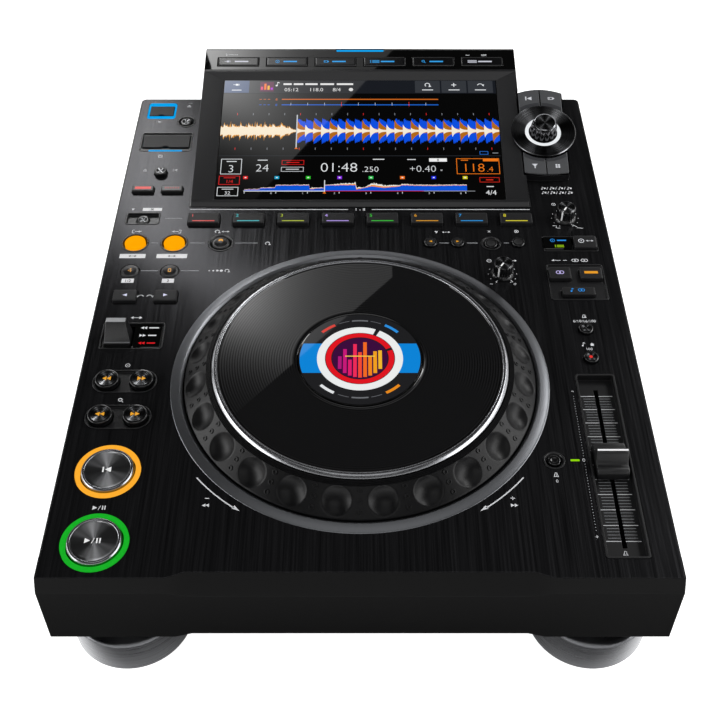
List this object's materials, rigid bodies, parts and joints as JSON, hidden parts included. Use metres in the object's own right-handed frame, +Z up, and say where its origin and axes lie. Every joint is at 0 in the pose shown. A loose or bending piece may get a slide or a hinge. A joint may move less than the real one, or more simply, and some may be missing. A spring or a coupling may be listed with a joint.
{
  "type": "tabletop dj media player",
  "caption": "Low black DJ media player on drum feet, with a tilted touch screen, a turning jog wheel, a tempo fader and button columns.",
  "frame": {"origin": "middle of the footprint on the surface the feet stand on", "axes": "+X to the player's right, +Y to the back, towards the screen, +Z up"},
  "size_m": [0.329, 0.453, 0.118],
  "materials": {
    "case": "fine textured black ABS",
    "panel": "black anodised, fine brush lines front to back",
    "tray": "black powder coat on steel",
    "drum": "turned and brushed",
    "foot_rubber": "matte",
    "screw": "zinc plated",
    "board": "green solder mask with components",
    "supply": "board with transformer and heat sink",
    "inlet": "black with brass pins",
    "socket": "nickel plated shells",
    "housing": "fine textured black",
    "lcd": "glossy touch glass over a lit display",
    "surround": "brushed, satin silver",
    "post": "as cast",
    "bearing": "ground steel",
    "label": "gloss lens over a round display",
    "bezel": "gloss black dish on a textured block",
    "light": "translucent light guide",
    "track": "satin black",
    "trim": "satin black",
    "dial": "satin black, soft touch",
    "plate": "gloss black with fine grooves and a bright edge",
    "door": "satin dark grey",
    "metal_button": "spun face with a bevelled rim",
    "small_metal_button": "spun face",
    "lit_key": "red lit key",
    "grey_key": "satin grey, printed legend area left bare",
    "dark_key": "satin black",
    "loop_button": "orange lit dome",
    "black_button": "gloss black",
    "knob": "black sides, spun metal top",
    "cap": "black with a white centre line",
    "rocker": "black"
  },
  "bodies": {
    "deck": {"lower_chassis": "tray", "upper_case": "case", "top_panel": "panel", "rear_panel": "tray", "foot_drums": "drum", "foot_rubbers": "foot_rubber", "chassis_screws": "screw", "circuit_boards": "board", "power_supply": "supply", "mains_inlet": "inlet", "signal_sockets": "socket", "screen_housing": "housing", "screen_panel": "lcd", "jog_ring": "surround", "jog_post": "post", "jog_bearing": "bearing", "jog_display": "label", "browse_bezel": "bezel", "light_pipes": "light", "fader_track": "track", "button_trims": "trim"},
    "usb_stop_button": {"usb_stop_button": "black_button"},
    "time_mode_button": {"time_mode_button": "small_metal_button"},
    "slip_key": {"slip_key": "lit_key"},
    "quantize_key": {"quantize_key": "lit_key"},
    "hot_cue_delete_button": {"hot_cue_delete_button": "small_metal_button"},
    "hot_cue_keys": {"hot_cue_keys": "grey_key"},
    "loop_in_button": {"loop_in_button": "loop_button"},
    "loop_out_button": {"loop_out_button": "loop_button"},
    "reloop_button": {"reloop_button": "black_button"},
    "beat_loop_4_button": {"beat_loop_4_button": "black_button"},
    "beat_loop_8_button": {"beat_loop_8_button": "black_button"},
    "beat_jump_back_key": {"beat_jump_back_key": "grey_key"},
    "beat_jump_forward_key": {"beat_jump_forward_key": "grey_key"},
    "track_back_button": {"track_back_button": "metal_button"},
    "track_next_button": {"track_next_button": "metal_button"},
    "search_back_button": {"search_back_button": "metal_button"},
    "search_next_button": {"search_next_button": "metal_button"},
    "cue_button": {"cue_button": "metal_button"},
    "play_button": {"play_button": "metal_button"},
    "memory_buttons": {"memory_buttons": "small_metal_button"},
    "jog_mode_key": {"jog_mode_key": "grey_key"},
    "sync_master_keys": {"sync_master_keys": "grey_key"},
    "key_sync_key": {"key_sync_key": "grey_key"},
    "tempo_range_button": {"tempo_range_button": "small_metal_button"},
    "master_tempo_button": {"master_tempo_button": "small_metal_button"},
    "tempo_reset_button": {"tempo_reset_button": "black_button"},
    "jog_dial": {"jog_dial": "dial"},
    "jog_plate": {"jog_plate": "plate"},
    "screen_keys": {"screen_keys": "dark_key"},
    "browse_keys": {"browse_keys": "grey_key"},
    "browse_shaft": {"browse_shaft": "screw"},
    "browse_knob": {"browse_knob": "metal_button"},
    "usb_door": {"usb_door": "door"},
    "sd_door": {"sd_door": "door"},
    "direction_lever": {"direction_lever": "dark_key"},
    "vinyl_speed_knob": {"vinyl_speed_knob": "knob"},
    "jog_adjust_knob": {"jog_adjust_knob": "knob"},
    "power_switch": {"power_switch": "rocker"},
    "fader_cap": {"fader_cap": "cap"}
  },
  "joints": [
    {"name": "usb_stop_button_press", "type": "slide", "parent": "deck", "child": "usb_stop_button", "axis": [0, 0, -1], "range_m": [0, 0.0008], "stiffness_N_per_m": 500, "springref_m": -0.0005},
    {"name": "time_mode_button_press", "type": "slide", "parent": "deck", "child": "time_mode_button", "axis": [0, 0, -1], "range_m": [0, 0.001], "stiffness_N_per_m": 500, "springref_m": -0.0005},
    {"name": "slip_key_press", "type": "slide", "parent": "deck", "child": "slip_key", "axis": [0, 0, -1], "range_m": [0, 0.001], "stiffness_N_per_m": 500, "springref_m": -0.0005},
    {"name": "quantize_key_press", "type": "slide", "parent": "deck", "child": "quantize_key", "axis": [0, 0, -1], "range_m": [0, 0.001], "stiffness_N_per_m": 500, "springref_m": -0.0005},
    {"name": "hot_cue_delete_button_press", "type": "slide", "parent": "deck", "child": "hot_cue_delete_button", "axis": [0, 0, -1], "range_m": [0, 0.0008], "stiffness_N_per_m": 500, "springref_m": -0.0005},
    {"name": "hot_cue_keys_press", "type": "slide", "parent": "deck", "child": "hot_cue_keys", "axis": [0, 0, -1], "range_m": [0, 0.001], "stiffness_N_per_m": 2000, "springref_m": -0.0005},
    {"name": "loop_in_button_press", "type": "slide", "parent": "deck", "child": "loop_in_button", "axis": [0, 0, -1], "range_m": [0, 0.001], "stiffness_N_per_m": 600, "springref_m": -0.0005},
    {"name": "loop_out_button_press", "type": "slide", "parent": "deck", "child": "loop_out_button", "axis": [0, 0, -1], "range_m": [0, 0.001], "stiffness_N_per_m": 600, "springref_m": -0.0005},
    {"name": "reloop_button_press", "type": "slide", "parent": "deck", "child": "reloop_button", "axis": [0, 0, -1], "range_m": [0, 0.0008], "stiffness_N_per_m": 500, "springref_m": -0.0005},
    {"name": "beat_loop_4_button_press", "type": "slide", "parent": "deck", "child": "beat_loop_4_button", "axis": [0, 0, -1], "range_m": [0, 0.0008], "stiffness_N_per_m": 500, "springref_m": -0.0005},
    {"name": "beat_loop_8_button_press", "type": "slide", "parent": "deck", "child": "beat_loop_8_button", "axis": [0, 0, -1], "range_m": [0, 0.0008], "stiffness_N_per_m": 500, "springref_m": -0.0005},
    {"name": "beat_jump_back_key_press", "type": "slide", "parent": "deck", "child": "beat_jump_back_key", "axis": [0, 0, -1], "range_m": [0, 0.001], "stiffness_N_per_m": 500, "springref_m": -0.0005},
    {"name": "beat_jump_forward_key_press", "type": "slide", "parent": "deck", "child": "beat_jump_forward_key", "axis": [0, 0, -1], "range_m": [0, 0.001], "stiffness_N_per_m": 500, "springref_m": -0.0005},
    {"name": "track_back_button_press", "type": "slide", "parent": "deck", "child": "track_back_button", "axis": [0, 0, -1], "range_m": [0, 0.001], "stiffness_N_per_m": 600, "springref_m": -0.0005},
    {"name": "track_next_button_press", "type": "slide", "parent": "deck", "child": "track_next_button", "axis": [0, 0, -1], "range_m": [0, 0.001], "stiffness_N_per_m": 600, "springref_m": -0.0005},
    {"name": "search_back_button_press", "type": "slide", "parent": "deck", "child": "search_back_button", "axis": [0, 0, -1], "range_m": [0, 0.001], "stiffness_N_per_m": 600, "springref_m": -0.0005},
    {"name": "search_next_button_press", "type": "slide", "parent": "deck", "child": "search_next_button", "axis": [0, 0, -1], "range_m": [0, 0.001], "stiffness_N_per_m": 600, "springref_m": -0.0005},
    {"name": "cue_button_press", "type": "slide", "parent": "deck", "child": "cue_button", "axis": [0, 0, -1], "range_m": [0, 0.0012], "stiffness_N_per_m": 900, "springref_m": -0.0005},
    {"name": "play_button_press", "type": "slide", "parent": "deck", "child": "play_button", "axis": [0, 0, -1], "range_m": [0, 0.0012], "stiffness_N_per_m": 900, "springref_m": -0.0005},
    {"name": "memory_buttons_press", "type": "slide", "parent": "deck", "child": "memory_buttons", "axis": [0, 0, -1], "range_m": [0, 0.0008], "stiffness_N_per_m": 1200, "springref_m": -0.0005},
    {"name": "jog_mode_key_press", "type": "slide", "parent": "deck", "child": "jog_mode_key", "axis": [0, 0, -1], "range_m": [0, 0.001], "stiffness_N_per_m": 500, "springref_m": -0.0005},
    {"name": "sync_master_keys_press", "type": "slide", "parent": "deck", "child": "sync_master_keys", "axis": [0, 0, -1], "range_m": [0, 0.001], "stiffness_N_per_m": 900, "springref_m": -0.0005},
    {"name": "key_sync_key_press", "type": "slide", "parent": "deck", "child": "key_sync_key", "axis": [0, 0, -1], "range_m": [0, 0.001], "stiffness_N_per_m": 500, "springref_m": -0.0005},
    {"name": "tempo_range_button_press", "type": "slide", "parent": "deck", "child": "tempo_range_button", "axis": [0, 0, -1], "range_m": [0, 0.0008], "stiffness_N_per_m": 500, "springref_m": -0.0005},
    {"name": "master_tempo_button_press", "type": "slide", "parent": "deck", "child": "master_tempo_button", "axis": [0, 0, -1], "range_m": [0, 0.0008], "stiffness_N_per_m": 500, "springref_m": -0.0005},
    {"name": "tempo_reset_button_press", "type": "slide", "parent": "deck", "child": "tempo_reset_button", "axis": [0, 0, -1], "range_m": [0, 0.0006], "stiffness_N_per_m": 500, "springref_m": -0.0005},
    {"name": "jog_turn", "type": "hinge", "parent": "deck", "child": "jog_dial", "pos_m": [0, -0.0837, 0.09], "axis": [0, 0, 1], "continuous": true},
    {"name": "jog_plate_press", "type": "slide", "parent": "jog_dial", "child": "jog_plate", "axis": [0, 0, -1], "range_m": [0, 0.0005], "stiffness_N_per_m": 8000, "springref_m": -0.0004},
    {"name": "screen_keys_press", "type": "slide", "parent": "deck", "child": "screen_keys", "axis": [0, 0.1994, -0.9799], "range_m": [0, 0.0006], "stiffness_N_per_m": 2000, "springref_m": -0.0005},
    {"name": "browse_keys_press", "type": "slide", "parent": "deck", "child": "browse_keys", "axis": [0, 0.2419, -0.9703], "range_m": [0, 0.0006], "stiffness_N_per_m": 1600, "springref_m": -0.0005},
    {"name": "browse_knob_press", "type": "slide", "parent": "deck", "child": "browse_shaft", "axis": [0, 0.2419, -0.9703], "range_m": [0, 0.0006], "stiffness_N_per_m": 900, "springref_m": -0.0005},
    {"name": "browse_knob_turn", "type": "hinge", "parent": "browse_shaft", "child": "browse_knob", "pos_m": [0.1293, 0.13437, 0.10192], "axis": [0, -0.2419, 0.9703], "continuous": true},
    {"name": "usb_door_turn", "type": "hinge", "parent": "deck", "child": "usb_door", "pos_m": [-0.1474, 0.1873, 0.0865], "axis": [-1, 0, 0], "range_deg": [0, 95]},
    {"name": "sd_door_turn", "type": "hinge", "parent": "deck", "child": "sd_door", "pos_m": [-0.1398, 0.1511, 0.0865], "axis": [-1, 0, 0], "range_deg": [0, 95]},
    {"name": "direction_lever_turn", "type": "hinge", "parent": "deck", "child": "direction_lever", "pos_m": [-0.146, -0.0509, 0.08], "axis": [1, 0, 0], "range_deg": [-8, 8]},
    {"name": "vinyl_speed_knob_turn", "type": "hinge", "parent": "deck", "child": "vinyl_speed_knob", "pos_m": [0.1376, 0.0588, 0.09], "axis": [0, 0, 1], "range_deg": [-150, 150]},
    {"name": "jog_adjust_knob_turn", "type": "hinge", "parent": "deck", "child": "jog_adjust_knob", "pos_m": [0.091, 0.004, 0.09], "axis": [0, 0, 1], "range_deg": [-150, 150]},
    {"name": "power_switch_turn", "type": "hinge", "parent": "deck", "child": "power_switch", "pos_m": [0.082, 0.189, 0.062], "axis": [1, 0, 0], "range_deg": [0, 12]},
    {"name": "fader_cap_slide", "type": "slide", "parent": "deck", "child": "fader_cap", "axis": [0, -1, 0], "range_m": [-0.05, 0.05]}
  ]
}
